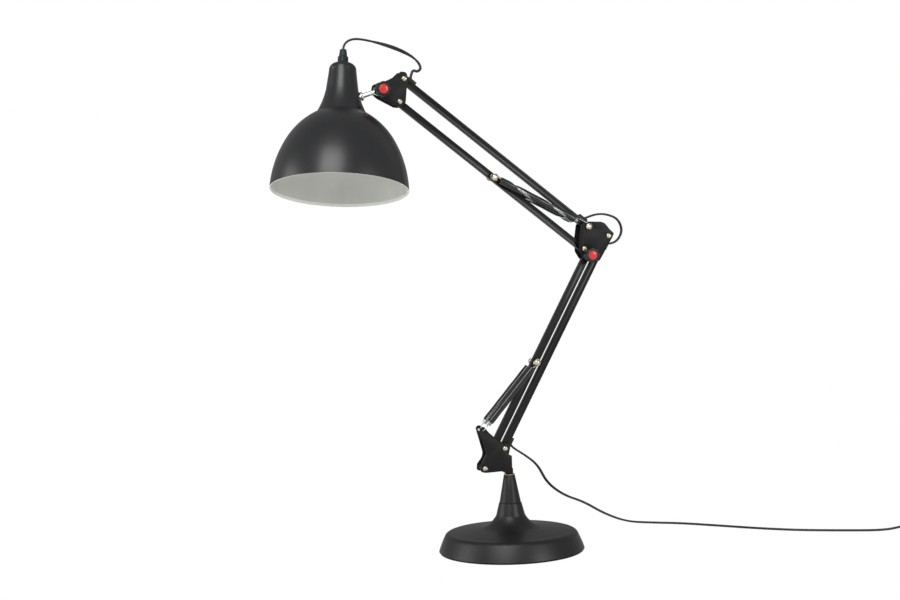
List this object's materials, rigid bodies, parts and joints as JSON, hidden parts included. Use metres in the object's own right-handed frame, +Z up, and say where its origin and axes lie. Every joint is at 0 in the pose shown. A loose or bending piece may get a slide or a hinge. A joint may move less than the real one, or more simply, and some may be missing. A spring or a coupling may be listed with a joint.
{
  "type": "desk lamp",
  "caption": "Desk lamp with a weighted round base, spring-balanced parallelogram arms of square tube, clamping knobs, a bell shade and a supply cord with switch and plug.",
  "frame": {"origin": "centre of the underside of the base", "axes": "+Z up through the stem, +X in the plane of the arms on the side that the elbow points to, the clamping knobs face -Y"},
  "size_m": [1.0589, 0.2796, 0.706],
  "materials": {
    "base_paint": "satin",
    "iron": "rough",
    "base_rubber": "matte",
    "steel": "satin",
    "bush_brass": "satin",
    "plate_paint": "satin",
    "nickel": "satin",
    "nylon": "matte",
    "tube_paint": "satin",
    "chrome": "polished",
    "knob_black": "satin",
    "knob_red": "glossy",
    "spring_steel": "polished",
    "sleeve_black": "glossy",
    "shade_paint": "satin",
    "gland_grey": "satin",
    "holder_black": "matte",
    "bulb_opal": "opal glass",
    "bulb_metal": "satin",
    "cord_black": "satin",
    "switch_black": "satin",
    "rocker_black": "satin",
    "pin_metal": "satin"
  },
  "bodies": {
    "base": {"base_cover": "base_paint", "base_weight": "iron", "base_pad": "base_rubber", "stem_post": "steel", "stem_nuts": "steel", "stem_sleeve": "base_paint", "swivel_bush": "bush_brass"},
    "bracket": {"bracket_plate_front": "plate_paint", "bracket_plate_back": "plate_paint", "bracket_spindle": "steel", "bracket_screws": "nickel", "bracket_nuts": "nickel", "bracket_spacers": "nylon", "free_cord": "cord_black", "cord_coil": "cord_black", "switch_body": "switch_black", "plug_body": "switch_black", "plug_pins": "pin_metal"},
    "lower_arm": {"lower_cord_tube": "tube_paint", "lower_cord_entries": "nylon", "lower_tube_cord": "cord_black"},
    "lower_link": {"lower_link_tube": "tube_paint", "lower_spring_pin": "nickel"},
    "elbow": {"elbow_plate_front": "plate_paint", "elbow_plate_back": "plate_paint", "elbow_screws": "nickel", "elbow_anchor_screw": "nickel", "elbow_nuts": "nickel", "elbow_spacers": "nylon", "elbow_knob_bolt": "chrome", "elbow_cord": "cord_black"},
    "elbow_knob": {"elbow_knob": "knob_black", "elbow_knob_cap": "knob_red"},
    "upper_arm": {"upper_cord_tube": "tube_paint", "upper_cord_entries": "nylon", "upper_tube_cord": "cord_black"},
    "upper_link": {"upper_link_tube": "tube_paint", "upper_spring_pin": "nickel"},
    "head": {"head_plate_front": "plate_paint", "head_plate_back": "plate_paint", "head_screws": "nickel", "head_nuts": "nickel", "head_spacers": "nylon", "head_knob_bolt": "chrome", "head_cord": "cord_black"},
    "head_knob": {"head_knob": "knob_black", "head_knob_cap": "knob_red"},
    "tilt_rod": {"tilt_rod": "chrome", "rod_nuts": "chrome"},
    "shade": {"shade_shell": "shade_paint", "cord_gland": "gland_grey", "lampholder": "holder_black", "bulb_glass": "bulb_opal", "bulb_cap": "bulb_metal"},
    "lower_springs": {"lower_springs": "spring_steel"},
    "lower_sleeves": {"lower_spring_sleeves": "sleeve_black"},
    "upper_springs": {"upper_springs": "spring_steel"},
    "upper_sleeves": {"upper_spring_sleeves": "sleeve_black"},
    "rocker": {"switch_rocker": "rocker_black"}
  },
  "joints": [
    {"name": "swivel", "type": "hinge", "parent": "base", "child": "bracket", "pos_m": [0, 0, 0], "axis": [0, 0, 1], "continuous": true},
    {"name": "lower_arm_tilt", "type": "hinge", "parent": "bracket", "child": "lower_arm", "pos_m": [-0.0076, 0, 0.143], "axis": [0, -1, 0], "range_deg": [-4, 30], "deforming": ["free_cord"]},
    {"name": "lower_link_tilt", "type": "hinge", "parent": "bracket", "child": "lower_link", "pos_m": [-0.0368, 0, 0.1174], "axis": [0, -1, 0], "range_deg": [-5, 31]},
    {"name": "elbow_level", "type": "hinge", "parent": "lower_arm", "child": "elbow", "pos_m": [0.15094, 0, 0.42785], "axis": [0, -1, 0], "range_deg": [-31, 5], "deforming": ["elbow_cord"]},
    {"name": "upper_arm_tilt", "type": "hinge", "parent": "elbow", "child": "upper_arm", "pos_m": [0.12244, 0, 0.44165], "axis": [0, -1, 0], "range_deg": [-28, 32], "deforming": ["elbow_cord"]},
    {"name": "upper_link_tilt", "type": "hinge", "parent": "elbow", "child": "upper_link", "pos_m": [0.11545, 0, 0.41125], "axis": [0, -1, 0], "range_deg": [-29, 33]},
    {"name": "head_level", "type": "hinge", "parent": "upper_arm", "child": "head", "pos_m": [-0.13019, 0, 0.64769], "axis": [0, -1, 0], "range_deg": [-33, 29], "deforming": ["head_cord"]},
    {"name": "head_tilt", "type": "hinge", "parent": "head", "child": "tilt_rod", "pos_m": [-0.16199, 0, 0.63339], "axis": [0, -1, 0], "range_deg": [-50, 25], "deforming": ["head_cord"]},
    {"name": "shade_swivel", "type": "hinge", "parent": "tilt_rod", "child": "shade", "pos_m": [-0.21369, 0, 0.61729], "axis": [-0.9548, 0, -0.2974], "range_deg": [-60, 60], "deforming": ["head_cord"]},
    {"name": "elbow_knob_turn", "type": "hinge", "parent": "elbow", "child": "elbow_knob", "pos_m": [0.12175, 0, 0.40225], "axis": [0, -1, 0], "range_deg": [0, 360]},
    {"name": "head_knob_turn", "type": "hinge", "parent": "head", "child": "head_knob", "pos_m": [-0.16199, 0, 0.63339], "axis": [0, -1, 0], "range_deg": [0, 360]},
    {"name": "lower_spring_swing", "type": "hinge", "parent": "bracket", "child": "lower_springs", "pos_m": [-0.0381, 0, 0.1689], "axis": [0, -1, 0], "range_deg": [-7.14, 43.8]},
    {"name": "lower_spring_stretch", "type": "slide", "parent": "lower_springs", "child": "lower_sleeves", "axis": [0.6659, 0, 0.746], "range_m": [-0.00946, 0.00152], "deforming": ["lower_springs"]},
    {"name": "upper_spring_swing", "type": "hinge", "parent": "elbow", "child": "upper_springs", "pos_m": [0.12244, 0, 0.44165], "axis": [0, -1, 0], "range_deg": [-30.9, 35.1]},
    {"name": "upper_spring_stretch", "type": "slide", "parent": "upper_springs", "child": "upper_sleeves", "axis": [-0.8793, 0, 0.4762], "range_m": [-0.01301, 0.01482], "deforming": ["upper_springs"]},
    {"name": "rocker_tilt", "type": "hinge", "parent": "bracket", "child": "rocker", "pos_m": [0.57828, -0.11626, 0.014], "axis": [0.4226, 0.9063, 0], "range_deg": [0, 14]}
  ],
  "couplings": [
    {"joint": "lower_link_tilt", "follows": "lower_arm_tilt", "ratio": 1},
    {"joint": "elbow_level", "follows": "lower_arm_tilt", "ratio": -1},
    {"joint": "lower_spring_swing", "follows": "lower_arm_tilt", "ratio": 1.41},
    {"joint": "lower_spring_stretch", "follows": "lower_arm_tilt", "m_per_rad": -0.0175},
    {"joint": "upper_link_tilt", "follows": "upper_arm_tilt", "ratio": 1},
    {"joint": "head_level", "follows": "upper_arm_tilt", "ratio": -1},
    {"joint": "upper_spring_swing", "follows": "upper_arm_tilt", "ratio": 1.05},
    {"joint": "upper_spring_stretch", "follows": "upper_arm_tilt", "m_per_rad": 0.026}
  ]
}
